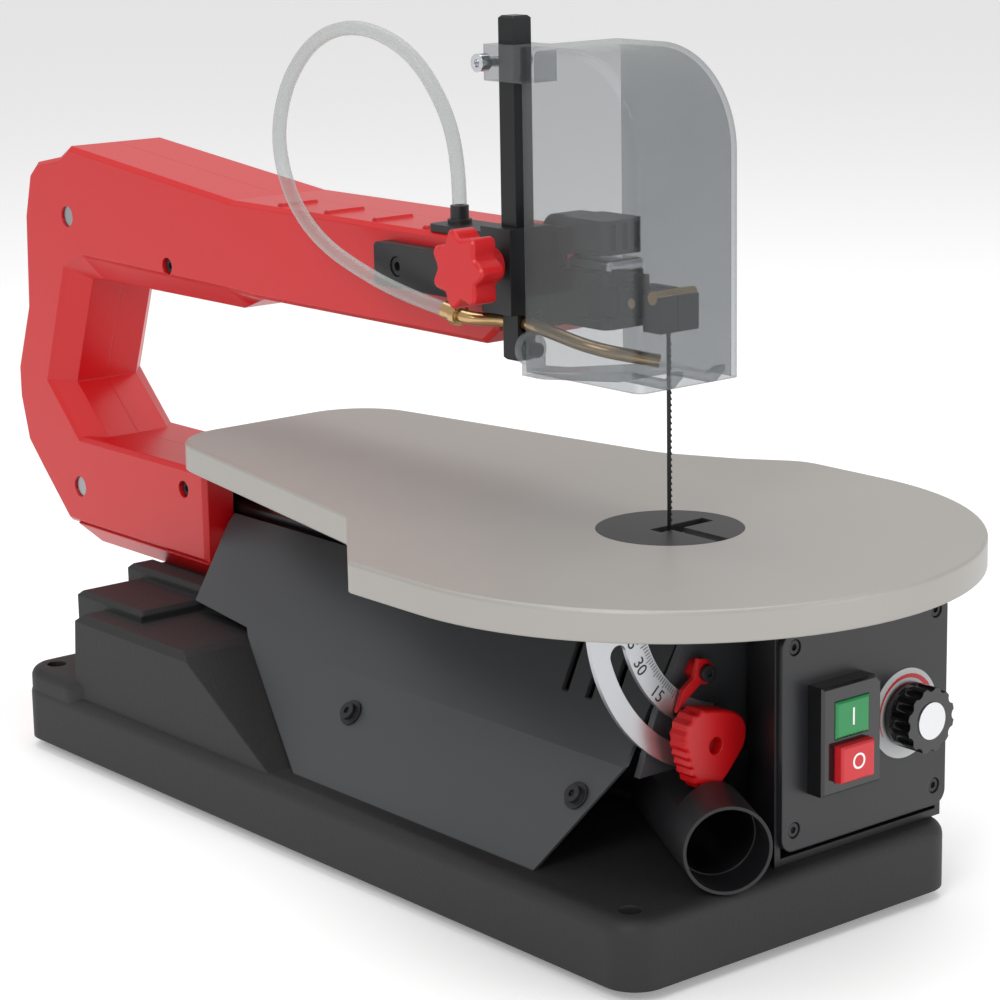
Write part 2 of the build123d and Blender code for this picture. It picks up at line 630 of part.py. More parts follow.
def control_panel():
    y0, y1 = PANEL_Y - PANEL_W / 2, PANEL_Y + PANEL_W / 2
    z0, z1 = PANEL_Z - PANEL_H / 2, PANEL_Z + PANEL_H / 2
    body = box(PANEL_X, PANEL_X + PANEL_T, y0, y1, z0, z1)
    body = fillet(body.edges().filter_by(Axis.X), 6)
    for y, z in PANEL_HOLES:
        body -= rod_x(PANEL_X - 1, PANEL_X + PANEL_T + 1, y, z, SCREW_R + FIT)
        body -= rod_x(PANEL_X + 0.6, PANEL_X + PANEL_T + 1, y, z, 3.2)
    body -= box(PANEL_X - 1, PANEL_X + PANEL_T + 1, SWITCH[0] + 4, SWITCH[1] - 4, SWITCH[2] + 4,
                SWITCH[3] - 4)
    return body - rod_x(PANEL_X - 1, PANEL_X + PANEL_T + 1, DIAL_Y, DIAL_Z, SPINDLE_R + 1)


def panel_screws():
    return group([screw_x(y, z, PANEL_X + 0.6, 9 if i > 1 else 2, head_h=1.4)
                  for i, (y, z) in enumerate(PANEL_HOLES)])


def switch_frame():
    """Gloss black surround of the start and stop buttons, with the switch block behind it."""
    y0, y1, z0, z1 = SWITCH
    body = box(*SWITCH_X, y0, y1, z0, z1)
    body = chamfer(body.edges().filter_by(Axis.X).sort_by(Axis.Z)[-1:], 3)
    body = chamfer(body.faces().sort_by(Axis.X)[-1].edges(), 1)
    for b in (START, STOP):
        body -= box(SWITCH_X[0] - 1, SWITCH_X[1] + 1, b[0] - GAP, b[1] + GAP, b[2] - GAP, b[3] + GAP)
    back = box(PANEL_X - 22, SWITCH_X[0], y0 + 4.2, y1 - 4.2, z0 + 4.2, z1 - 4.2)
    for b in (START, STOP):
        back -= box(SWITCH_X[0] - 8, SWITCH_X[0] + 1, b[0] - GAP, b[1] + GAP, b[2] - GAP, b[3] + GAP)
    return body + back


def button(b, proud):
    y0, y1, z0, z1 = b
    body = box(SWITCH_X[0] - 4, SWITCH_X[1] + proud, y0, y1, z0, z1)
    return chamfer(body.faces().sort_by(Axis.X)[-1].edges(), 0.8)


def dial_label():
    x = PANEL_X + PANEL_T
    return rod_x(x, x + 0.4, DIAL_Y, DIAL_Z, DIAL_R) - rod_x(x - 1, x + 1, DIAL_Y, DIAL_Z,
                                                             SPINDLE_R + 1)


def speed_knob():
    x0, x1 = KNOB_X
    body = rod_x(x0, x1 - 0.6, DIAL_Y, DIAL_Z, KNOB_R)
    for i in range(12):
        a = math.radians(30 * i)
        body -= rod_x(x0 + 2.5, x1 + 1, DIAL_Y + (KNOB_R + 1.3) * math.cos(a),
                      DIAL_Z + (KNOB_R + 1.3) * math.sin(a), 2.6)
    body -= rod_x(x1 - 1.4, x1, DIAL_Y, DIAL_Z, 7.4)
    return body + rod_x(PANEL_X - 4, x0 + 1, DIAL_Y, DIAL_Z, SPINDLE_R)


def speed_knob_cap():
    return rod_x(KNOB_X[1] - 1.4, KNOB_X[1], DIAL_Y, DIAL_Z, 7.4)


def speed_dial_pot():
    body = rod_x(PANEL_X - 12, PANEL_X - 1, DIAL_Y, DIAL_Z, 12)
    body += rod_x(PANEL_X - 1, PANEL_X, DIAL_Y, DIAL_Z, 6)
    return body - rod_x(PANEL_X - 5, PANEL_X + 1, DIAL_Y, DIAL_Z, SPINDLE_R + RUN)


def control_board():
    x = PANEL_X - 12
    board = box(x - 1.6, x, 40, 76, up(-96), up(-50))
    return board + box(x - 8, x - 1.6, 44, 54, up(-94), up(-84)) + rod_x(x - 12, x - 1.6, 66, up(-90), 5)


# ---------------------------------------------------------------- side covers
COVER_T = 1.5
FOLD_Y = -51.5
FOLD_Z = up(-79.5)
SKIRT_Y = -80.0


def cover_band(x0, x1):
    """Folded sheet seen along x: skirt from the base up to the fold, then leaning in at 45 degrees."""
    t = COVER_T
    top_y = -13.0
    top_z = FOLD_Z + (top_y - FOLD_Y)
    outer = [(SKIRT_Y, BASE_H), (FOLD_Y, FOLD_Z), (top_y, top_z)]
    inner = [(top_y + t * 0.7, top_z - t * 0.7), (FOLD_Y + t * 1.1, FOLD_Z - t * 0.4),
             (SKIRT_Y + t * 1.3, BASE_H)]
    return plate_yz(outer + inner, x0, x1)


COVER_SCREW = (13.0, -61.0, up(-92.6))
COVER_SCREW_REAR = -130.0


def side_cover():
    body = cover_band(-290, 45)
    outline = [(-147, BASE_H), (9, BASE_H), (29.5, FOLD_Z), (24, up(-62.8)), (16, up(-38)),
               (-282, up(-38)), (-282, up(-45)), (-268, PED_TOP + 6), (-223, PED_TOP + 3),
               (-213, PED_TOP - 3)]
    body = body & plate_xz(outline, -120, 0)
    for x in (-31.5, -17.5, -3.5):
        slot = plate_xz([(x - 2, up(-46)), (x + 2, up(-46)), (x + 11, up(-64)), (x + 7, up(-64))],
                        -60, -10)
        body -= slot
    x, y, z = COVER_SCREW
    for px in (x, COVER_SCREW_REAR):
        body -= Pos(px, y, z) * Rot(cover_lean(), 0, 0) * Cylinder(SCREW_R + FIT, 12)
    return body


def cover_lean():
    """Rotation about x that turns a z cylinder into the skirt's outward normal."""
    return 90 - math.degrees(math.atan2(FOLD_Y - SKIRT_Y, FOLD_Z - BASE_H))


def cover_screws():
    x, y, z = COVER_SCREW
    screws = []
    for px in (x, COVER_SCREW_REAR):
        washer = Pos(0, 0, 0.5) * Cylinder(5.5, 1.0)
        head = Pos(0, 0, 2.2) * Cylinder(3.6, 2.4) - Pos(0, 0, 3.0) * Cylinder(1.4, 2)
        shank = Pos(0, 0, -4) * Cylinder(SCREW_R, 8)
        screws.append(Pos(px, y, z) * Rot(cover_lean(), 0, 0) * (washer + head + shank))
    return group(screws)


FAR_SCREW_X = (-142.0, 25.0)


def far_cover():
    """Flat side cover on the right, with a top flange and vent slots."""
    y1 = BASE_RIGHT - 5
    top = up(-28)
    body = box(-150, PANEL_X - 32, y1 - COVER_T, y1, BASE_H, top)
    body += box(-150, PANEL_X - 32, 40, y1, top - COVER_T, top)
    for i in range(6):
        body -= box(-140 + i * 10, -135 + i * 10, y1 - 5, y1 + 5, up(-70), up(-45))
    for x in FAR_SCREW_X:
        body -= rod_y(y1 - 5, y1 + 1, x, BASE_H + 8, SCREW_R + FIT)
    return body


def far_cover_screws():
    y1 = BASE_RIGHT - 5
    return group([screw_y(x, BASE_H + 8, y1, 5, 1) for x in FAR_SCREW_X])


# ---------------------------------------------------------------- dust port
def port_frame():
    a = math.radians(PORT_AIM)
    return Vector(math.sin(a), -math.cos(a), 0)


def dust_port():
    aim = port_frame()
    mouth = Vector(PORT_MOUTH_X, PORT_MOUTH_Y, BASE_H + PORT_R)
    length = 78.0
    centre = mouth - aim * (length / 2)
    heading = math.degrees(math.atan2(aim.Y, aim.X))
    place = Pos(centre.X, centre.Y, centre.Z) * Rot(0, 0, heading) * Rot(0, 90, 0)
    body = place * Cylinder(PORT_R, length)
    bore = place * Cylinder(PORT_R - PORT_WALL, length + 2)
    roof = PIVOT_Z - SCALE_RO - 2.2
    over = box(-40, 52, -80, 80, roof, roof + 60)
    over_in = box(-40, 54, -80, 80, roof - 2, roof + 60)
    end = mouth - aim * (PORT_SOCKET_L / 2)
    seat = Pos(end.X, end.Y, end.Z) * Rot(0, 0, heading) * Rot(0, 90, 0)
    socket = seat * Cylinder(PORT_SOCKET_R, PORT_SOCKET_L)
    return (body - over) - (bore - over_in) - socket


# ---------------------------------------------------------------- table
def table_outline():
    """Round front, straight rear, and a step on the left behind the round part."""
    r = TABLE_R
    cx = -2.0
    arc = ThreePointArc((cx, -r), (cx + r, 0), (cx, r))
    path = Polyline([(cx, r), (-48, r), (-72, 107), (-104, 91), (TABLE_REAR, 63),
                     (TABLE_REAR, -47), (-104, -80), (-44, -r), (cx, -r)])
    face = make_face([arc, path])
    face = fillet(face.vertices().sort_by_distance((TABLE_REAR, 63, 0))[0], 34)
    face = fillet(face.vertices().sort_by_distance((TABLE_REAR, -47, 0))[0], 30)
    face = fillet(face.vertices().sort_by_distance((-104, -80, 0))[0], 12)
    face = fillet(face.vertices().sort_by_distance((-44, -r, 0))[0], 8)
    face = fillet(face.vertices().sort_by_distance((-104, 91, 0))[0], 60)
    face = fillet(face.vertices().sort_by_distance((-48, r, 0))[0], 24)
    return face


TABLE_LUGS = ((38.0, 46.0), (-128.0, -119.0))


def table_top():
    face = table_outline()
    inner = offset(face, -TABLE_RIM_W)
    body = Pos(0, 0, TABLE_TOP - TABLE_RIM_H) * extrude(face, TABLE_RIM_H)
    body = fillet(body.faces().sort_by(Axis.Z)[-1].edges(), 1.5)
    body -= Pos(0, 0, TABLE_TOP - TABLE_RIM_H - 1) * extrude(inner, TABLE_RIM_H - TABLE_PLATE + 1)
    low = TABLE_TOP - TABLE_PLATE
    body += rod_z(low - 4, low + 1, 0, 0, INSERT_R - 0.5)
    body -= rod_z(TABLE_TOP - INSERT_T, TABLE_TOP + 1, 0, 0, INSERT_R + 0.2)
    body -= rod_z(low - 5, TABLE_TOP, 0, 0, INSERT_R - 4)
    for x0, x1 in TABLE_LUGS:
        lug = box(x0, x1, -7, 7, PIVOT_Z, low + 1) + rod_x(x0, x1, 0, PIVOT_Z, 7)
        body += lug
        body -= rod_x(x0 - 1, x1 + 1, 0, PIVOT_Z, TABLE_PIN_R + RUN)
    for y in (-34.0, 34.0):
        body += box(-270, -30, y - 1.5, y + 1.5, low - 4, low + 0.5)
    return body


def table_insert():
    """Dark disc flush with the table, with a slot to the front and one across the blade."""
    body = rod_z(TABLE_TOP - INSERT_T, TABLE_TOP, 0, 0, INSERT_R)
    body -= box(-3, 3.5, -8, 20, 0, TABLE_TOP + 1)
    return body - box(0, INSERT_R + 1, -2, 4, 0, TABLE_TOP + 1)


def at_angle(r, deg):
    """Point in y and z on the tilt scale, from straight down towards the left."""
    a = math.radians(deg)
    return (-r * math.sin(a), PIVOT_Z - r * math.cos(a))


def lock_at():
    return at_angle(SLOT_R, LOCK_DEG)


def arc_yz(r, deg0, deg1, x):
    pts = [at_angle(r, d) for d in (deg0, (deg0 + deg1) / 2, deg1)]
    return ThreePointArc(*[(x, y, z) for y, z in pts])


def tilt_scale():
    """Bright plate with a curved slot; its upper end is bent over and screwed to the table."""
    x = SCALE_X
    low, high = 14.0, 83.0
    outer = arc_yz(SCALE_RO, low, high, x)
    inner = arc_yz(SCALE_RI, high, low, x)
    ends = [Line(outer @ 1, inner @ 0), Line(inner @ 1, outer @ 0)]
    body = extrude(make_face([outer, inner, *ends]), SCALE_T, dir=(1, 0, 0))
    top_z = TABLE_TOP - TABLE_PLATE
    y_out, z_out = at_angle(SCALE_RO, high)
    y_in, z_in = at_angle(SCALE_RI, high)
    body += plate_yz([(y_out, z_out - 1), (y_in, z_in - 1), (y_in, top_z), (y_out, top_z)],
                     x, x + SCALE_T)
    body += box(x, x + 14, y_out, y_in, top_z - SCALE_T, top_z)
    s0, s1 = LOCK_DEG - 2, LOCK_DEG + 51
    ro, ri = SLOT_R + SLOT_W / 2, SLOT_R - SLOT_W / 2
    slot_out, slot_in = arc_yz(ro, s0, s1, x), arc_yz(ri, s1, s0, x)
    slot = extrude(make_face([slot_out, slot_in, Line(slot_out @ 1, slot_in @ 0),
                              Line(slot_in @ 1, slot_out @ 0)]), SCALE_T, dir=(1, 0, 0))
    for s in (s0, s1):
        y, z = at_angle(SLOT_R, s)
        slot += rod_x(x, x + SCALE_T, y, z, SLOT_W / 2)
    body -= slot
    for y in (y_out + 5, y_in - 5):
        body -= rod_z(top_z - 3, top_z + 1, x + 9, y, SCREW_R)
    return body


def scale_screws():
    top_z = TABLE_TOP - TABLE_PLATE
    y_out, y_in = at_angle(SCALE_RO, 83.0)[0], at_angle(SCALE_RI, 83.0)[0]
    return group([rod_z(top_z - SCALE_T - 2.2, top_z - SCALE_T, SCALE_X + 9, y, 3.5)
                  + rod_z(top_z - SCALE_T, top_z, SCALE_X + 9, y, SCREW_R)
                  for y in (y_out + 5, y_in - 5)])


LOCK_BOLT_R = 3.0
LOCK_R = 15.2
POINTER_SCREW = (-18.5, up(-46.5))


def tilt_lock_knob():
    """Three-lobed hand knob with a serrated grip edge."""
    x0, x1 = SCALE_X + SCALE_T + 4, SCALE_X + SCALE_T + 13
    y, z = lock_at()
    n = 48
    points = []
    for i in range(n):
        a = 2 * math.pi * i / n
        r = LOCK_R + 1.6 * math.cos(3 * a - 0.9) + (0.9 if i % 2 and 100 < math.degrees(a) < 250 else 0)
        points.append((y + r * math.cos(a), z + r * math.sin(a)))
    body = plate_yz(points, x0, x1)
    body = chamfer(body.faces().sort_by(Axis.X)[-1].edges(), 0.8)
    body += rod_x(SCALE_X + SCALE_T + 2, x0, y, z, 9)
    body -= rod_x(x1 - 5, x1 + 1, y, z, 3.4)
    return body + rod_x(FRONT_PLATE[0] - 6, x1 - 5, y, z, LOCK_BOLT_R)


def tilt_pointer():
    """Red finger on the front plate, reaching over the scale's figures."""
    y, z = POINTER_SCREW
    x0 = FRONT_PLATE[1]
    foot = rod_x(x0, x0 + 6.5, y, z, 4.5)
    finger = plate_yz([(y - 3.5, z + 6), (y + 1, z + 5), (y - 1, z - 3), (-28, up(-55)),
                       (-33.5, up(-59.5)), (-30, up(-51)), (y - 6, z - 1)],
                      SCALE_X + SCALE_T + 0.5, SCALE_X + SCALE_T + 2.5)
    foot += rod_x(x0 + 5.5, SCALE_X + SCALE_T + 2.5, y, z, 4.5)
    return foot + finger - rod_x(x0 - 1, x0 + 12, y, z, SCREW_R + FIT)


def pointer_screw():
    y, z = POINTER_SCREW
    return screw_x(y, z, FRONT_PLATE[1] + 6.5, 8.5, head_r=3.4, head_h=2.4)


# ---------------------------------------------------------------- guard rod and what it carries
BRACKET_X = (-72.0, -54.0)
BRACKET_Y = (-34.0, -14.0)
BRACKET_Z = (up(81), up(115))
STAR_X = -63.5
STAR_Z = up(101)
STUD_R = 2.5
ARM_TOP_Z = up(108)


def guard_bracket():
    """Black bracket bolted to the housing's tip, with a square bore for the guard rod."""
    h = GUARD_ROD / 2 + RUN
    body = box(*BRACKET_X, *BRACKET_Y, *BRACKET_Z)
    body -= box(GUARD_ROD_X - h, GUARD_ROD_X + h, GUARD_ROD_Y - h, GUARD_ROD_Y + h, BRACKET_Z[0] - 1,
                BRACKET_Z[1] + 1)
    bar = box(-142, -72, BRACKET_Y[0], -SHELL_W, up(84), up(102))
    body += chamfer(bar.edges().filter_by(Axis.Y), 1.5)
    body -= rod_y(BRACKET_Y[0] - 1, GUARD_ROD_Y - h, STAR_X + 3, STAR_Z, STUD_R + RUN)
    for x in (-127.0, -92.0):
        body -= rod_y(BRACKET_Y[0] - 1, -SHELL_W + 1, x, up(93), SCREW_R + FIT)
        body -= rod_y(BRACKET_Y[0] - 1, BRACKET_Y[0] + 4.5, x, up(93), 4.2)
    return body


def bracket_screws():
    screws = []
    for x in (-127.0, -92.0):
        head = rod_y(BRACKET_Y[0] + 0.5, BRACKET_Y[0] + 4.5, x, up(93), 3.8)
        head -= rod_y(BRACKET_Y[0] + 0.5, BRACKET_Y[0] + 3, x, up(93), 1.9)
        screws.append(head + rod_y(BRACKET_Y[0] + 4.5, -SHELL_W, x, up(93), SCREW_R))
    return group(screws)


def guard_lock_knob():
    """Seven-lobed star knob with its moulded-in stud."""
    y0, y1 = -56.0, -45.0
    x, z = STAR_X + 3, STAR_Z
    n = 84
    points = []
    for i in range(n):
        a = 2 * math.pi * i / n
        r = 14.0 + 1.9 * math.cos(7 * a)
        points.append((x + r * math.cos(a), z + r * math.sin(a)))
    body = plate_xz(points, y0, y1)
    body = chamfer(body.faces().sort_by(Axis.Y)[0].edges(), 1.0)
    body += rod_y(y1 - 1, -37, x, z, 7)
    return body + rod_y(-46, GUARD_ROD_Y - GUARD_ROD / 2 - 0.1, x, z, STUD_R)


NOZZLE_Z = up(77)
NOZZLE_R = 2.7


def guard_rod():
    h = GUARD_ROD / 2
    body = box(GUARD_ROD_X - h, GUARD_ROD_X + h, GUARD_ROD_Y - h, GUARD_ROD_Y + h, ROD_BOTTOM,
               ROD_TOP)
    body = chamfer(body.faces().sort_by(Axis.Z)[-1].edges(), 1)
    body = chamfer(body.faces().sort_by(Axis.Z)[0].edges(), 1)
    body -= rod_x(GUARD_ROD_X - 9, GUARD_ROD_X + 9, GUARD_ROD_Y, NOZZLE_Z, NOZZLE_R + 1.0)
    return body - rod_x(GUARD_ROD_X, GUARD_ROD_X + 9, GUARD_ROD_Y, FOOT_PIVOT_Z, 2.0 + FIT)


GUARD_X = (-50.0, 16.0)
GUARD_Y = (-30.0, 23.0)
GUARD_Z = (up(59), up(186))
GUARD_T = 2.0
GUARD_SCREW_X = GUARD_ROD_X - GUARD_ROD / 2 - 2.5


def guard_profile(shrink, x_open):
    """Side outline of the guard: square at the back, round over the front."""
    x1 = GUARD_X[1] - shrink
    z1 = GUARD_Z[1] - shrink
    r = 40.0 - shrink
    a = r * (1 - math.sqrt(0.5))
    z0 = GUARD_Z[0] - (1 if shrink else 0)
    path = [Line((x_open, 0, z0), (x1, 0, z0)), Line((x1, 0, z0), (x1, 0, z1 - r)),
            ThreePointArc((x1, 0, z1 - r), (x1 - a, 0, z1 - a), (x1 - r, 0, z1)),
            Line((x1 - r, 0, z1), (x_open, 0, z1)), Line((x_open, 0, z1), (x_open, 0, z0))]
    return make_face(path)


def blade_guard():
    """Clear shell round the blade, open below and behind, with a split clamp on the rod."""
    y0, y1 = GUARD_Y
    outer = Pos(0, y0, 0) * extrude(guard_profile(0, GUARD_X[0]), y1 - y0, dir=(0, 1, 0))
    outer = fillet(outer.edges().filter_by(Axis.Z).sort_by(Axis.X)[-2:], 4)
    inner = Pos(0, y0 + GUARD_T, 0) * extrude(guard_profile(GUARD_T, GUARD_X[0] - 1),
                                              y1 - y0 - 2 * GUARD_T, dir=(0, 1, 0))
    inner = fillet(inner.edges().filter_by(Axis.Z).sort_by(Axis.X)[-2:], 2.5)
    body = outer - inner
    h = GUARD_ROD / 2 + 0.02
    clamp = box(-70, -45, GUARD_ROD_Y - 9, GUARD_ROD_Y + 9, up(172), up(186))
    clamp = fillet(clamp.edges().filter_by(Axis.Z), 2)
    body += clamp
    body -= box(GUARD_ROD_X - h, GUARD_ROD_X + h, GUARD_ROD_Y - h, GUARD_ROD_Y + h, up(170), up(190))
    body -= box(-72, GUARD_ROD_X, GUARD_ROD_Y - 0.6, GUARD_ROD_Y + 0.6, up(170), up(190))
    return body - rod_y(-40, -10, GUARD_SCREW_X, up(179), SCREW_R + FIT)


def guard_screw():
    y = GUARD_ROD_Y - 9
    body = rod_y(y - 4.5, y, GUARD_SCREW_X, up(179), 3.6) + rod_y(y, GUARD_ROD_Y + 9, GUARD_SCREW_X, up(179), SCREW_R)
    body -= rod_y(y - 4.5, y - 2, GUARD_SCREW_X, up(179), 1.6)
    return body + rod_y(GUARD_ROD_Y + 9, GUARD_ROD_Y + 12, GUARD_SCREW_X, up(179), 3.6)


FOOT_PIVOT_Z = up(67)
FOOT_T = 3.0
FOOT_Z = up(56.5)


def hold_down_foot():
    """Clear two-pronged foot that presses the work down on both sides of the blade."""
    x0 = GUARD_ROD_X + GUARD_ROD / 2 + 0.3
    ear = rod_x(x0, x0 + 4, GUARD_ROD_Y, FOOT_PIVOT_Z, 6.5)
    web = box(x0, x0 + 4, GUARD_ROD_Y - 3, GUARD_ROD_Y + 6, FOOT_Z, FOOT_PIVOT_Z)
    z0, z1 = FOOT_Z, FOOT_Z + FOOT_T
    sole = plate_xy([(x0, GUARD_ROD_Y - 3), (x0 + 12, GUARD_ROD_Y - 3), (-18, -10), (-18, 19.3),
                     (-26, 19.3), (x0 + 12, GUARD_ROD_Y + 12), (x0, GUARD_ROD_Y + 6)], z0, z1)
    body = ear + web + sole
    for y0, y1 in ((-7.5, -3.0), (14.8, 19.3)):
        prong = plate_xz([(-19, z0), (6, z0), (11, z0 + 5), (11, z0 + 7), (9, z0 + 7), (4, z1),
                          (-19, z1)], y0, y1)
        body += prong
    body += box(-24, -18, -10, 19.3, z0, z1)
    return body - rod_x(x0 - 1, x0 + 6, GUARD_ROD_Y, FOOT_PIVOT_Z, 2.0 + RUN)


def hold_down_screw():
    x0 = GUARD_ROD_X + GUARD_ROD / 2
    head = rod_x(x0 + 4.6, x0 + 7, GUARD_ROD_Y, FOOT_PIVOT_Z, 3.0)
    head -= rod_x(x0 + 5.6, x0 + 7, GUARD_ROD_Y, FOOT_PIVOT_Z, 1.6)
    return head + rod_x(GUARD_ROD_X + 0.5, x0 + 4.6, GUARD_ROD_Y, FOOT_PIVOT_Z, 2.0)


def tube(points, radii, r):
    """Round bar along straight runs joined by tangent arcs."""
    path = FilletPolyline(points, radius=radii)
    start = Plane(origin=path @ 0, z_dir=path % 0)
    return sweep(start * Circle(r), path)


def arc_radii(points, share=0.45):
    radii = []
    for a, b, c in zip(points, points[1:], points[2:]):
        u, v = Vector(*b) - Vector(*a), Vector(*c) - Vector(*b)
        radii.append(share * min(u.length, v.length) / math.tan(math.radians(u.get_angle(v)) / 2))
    return radii


HOSE_ROUTE = [(-106, -17, up(118.5)), (-106, -17, up(136)), (-110, -20, up(158)),
              (-125, -25, up(180)), (-150, -31, up(190)), (-175, -35, up(185)),
              (-192, -38.5, up(167)), (-198.5, -40.5, up(145)), (-194, -41.5, up(127)),
              (-184, -42, up(112)), (-165, -42.5, up(99)), (-138, -42, up(90)),
              (-112, -40.3, up(83.5)), (-90, -38, up(80))]
HOSE_END = Vector(*HOSE_ROUTE[-1])
HOSE_RUN = HOSE_END - Vector(*HOSE_ROUTE[-2])
FITTING_L = 9.0
NOZZLE_BEND = HOSE_END + HOSE_RUN * 0.62
NOZZLE_ROUTE = [tuple(HOSE_END), tuple(NOZZLE_BEND), (-66.5, GUARD_ROD_Y, NOZZLE_Z),
                (-54, GUARD_ROD_Y, NOZZLE_Z), (-24, -18, up(70)), (-7, 1.5, up(64.8))]


def blower_nozzle():
    """Bent metal tube through the guard rod, blowing dust off the cutting line."""
    body = tube(NOZZLE_ROUTE, arc_radii(NOZZLE_ROUTE, 0.4), NOZZLE_R)
    return body


def hose_end_fitting():
    """Sleeve over the nozzle's tail, where the hose ends."""
    along = HOSE_RUN.normalized()
    body = Plane(origin=HOSE_END + along * (FITTING_L / 2), z_dir=along) * Cylinder(HOSE_R + 0.6, FITTING_L)
    ring = Plane(origin=HOSE_END + along * (FITTING_L - 2), z_dir=along) * Cylinder(HOSE_R + 1.6, 3)
    bore = Plane(origin=HOSE_END + along * (FITTING_L / 2), z_dir=along) * Cylinder(NOZZLE_R + FIT,
                                                                                FITTING_L + 2)
    return body + ring - bore


def blower_hose():
    return tube(HOSE_ROUTE, arc_radii(HOSE_ROUTE), HOSE_R)


def hose_clip_plate():
    """Black plate on top of the housing with the blower's outlet collar."""
    z0 = ARM_TOP_Z
    body = box(-116, -74, -26, -6, z0, z0 + 3)
    body = fillet(body.edges().filter_by(Axis.Z), 3)
    body += rod_z(z0 + 3, z0 + 5, HOSE_ROUTE[0][0], HOSE_ROUTE[0][1], 5)
    body += rod_z(z0 + 5, HOSE_ROUTE[0][2], HOSE_ROUTE[0][0], HOSE_ROUTE[0][1], 3.8)
    return body - rod_z(z0 - 1, z0 + 12, HOSE_ROUTE[0][0], HOSE_ROUTE[0][1], 2)


def air_bellows():
    """Rubber bellows squeezed by the upper arm, the source of the blower's air."""
    x, y = HOSE_ROUTE[0][0], 0
    z0, z1 = UPPER_ARM_Z + 7.6, ARM_TOP_Z - SHELL_T
    body = rod_z(z0, z1, x, y, 7)
    step = (z1 - z0) / 3
    for i in range(3):
        body += rod_z(z0 + step * (i + 0.2), z0 + step * (i + 0.7), x, y, 8.5)
    return body


# ---------------------------------------------------------------- export
def housing_screws():
    """The pan-head screws of the housing, covers, panel and pointer."""
    return group([arm_shell_screws(), cover_screws(), far_cover_screws(), panel_screws(),
                  pointer_screw()])


def base_and_housing():
    return {
        "base_casting": base_casting(), "rubber_feet": rubber_feet(), "cable_gland": cable_gland(),
        "arm_shell_left": arm_shell_left(), "arm_shell_right": arm_shell_right(),
        "housing_screws": housing_screws(), "arm_pivot_pins": arm_pivot_pins(),
        "arm_bushes": arm_bushes(),
        "frame_plate": frame_plate(), "rear_cross_plate": rear_cross_plate(),
        "front_plate": front_plate(), "side_cover": side_cover(),
        "far_cover": far_cover(), "dust_port": dust_port(),
    }


def drive_parts():
    return {
        "upper_arm": upper_arm(), "lower_arm": lower_arm(),
        "conrod_pins": conrod_pins(), "tension_link": tension_link(),
        "tension_lever": tension_lever(), "tension_strap": tension_washer(),
        "saw_blade": saw_blade(), "upper_blade_holder": upper_blade_holder(),
        "lower_blade_holder": lower_blade_holder(),
        "upper_holder_pins": group([holder_cross_pin(up(91.5)), holder_pin(UPPER_ARM_Z)]),
        "lower_holder_pins": group([holder_cross_pin(up(-50)), holder_pin(LOWER_ARM_Z)]),
        "blade_clamp_screw": blade_clamp_screw(), "motor_body": motor_body(),
        "crank_shaft": crank_shaft(), "motor_fan": motor_fan(),
        "connecting_rod": connecting_rod(),
        "air_bellows": air_bellows(),
    }


def controls():
    return {
        "switch_box": switch_box(), "control_panel": control_panel(),
        "switch_frame": switch_frame(),
        "start_button": button(START, 1.0), "stop_button": button(STOP, 4.0),
        "dial_label": dial_label(), "speed_knob": speed_knob(), "speed_knob_cap": speed_knob_cap(),
        "speed_pot": speed_dial_pot(), "control_board": control_board(),
    }


def table_parts():
    return {
        "table": table_top(), "table_insert": table_insert(), "table_pivot_pins": table_pivot_pins(),
        "tilt_scale": tilt_scale(), "tilt_lock_knob": tilt_lock_knob(),
        "tilt_pointer": tilt_pointer(), "scale_screws": scale_screws(),
    }


def guard_parts():
    return {
        "guard_bracket": guard_bracket(), "bracket_screws": bracket_screws(),
        "guard_rod": guard_rod(), "guard_lock_knob": guard_lock_knob(), "blade_guard": blade_guard(),
        "guard_screw": guard_screw(), "hold_down_foot": hold_down_foot(),
        "hold_down_screw": hold_down_screw(), "blower_nozzle": blower_nozzle(),
        "hose_end_fitting": hose_end_fitting(), "blower_hose": blower_hose(),
        "hose_clip_plate": hose_clip_plate(),
    }


if __name__ == "__main__":
    os.makedirs("parts", exist_ok=True)
    parts = {**base_and_housing(), **drive_parts(), **controls(), **table_parts(), **guard_parts()}
    for name, shape in parts.items():
        export_step(Pos(*BLADE_AT) * shape, f"parts/{name}.step")
    print(len(parts), "parts; hose bend radii", [round(r, 1) for r in arc_radii(HOSE_ROUTE)])
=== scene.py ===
# %% [markdown]
# # A bench scroll saw in studio light
# This lesson gives each piece its real finish, adds the printed marks and the soft air hose, and
# lights the saw on a pale floor.

# %% Load the frame
import math
import bpy
from mathutils import Matrix, Vector


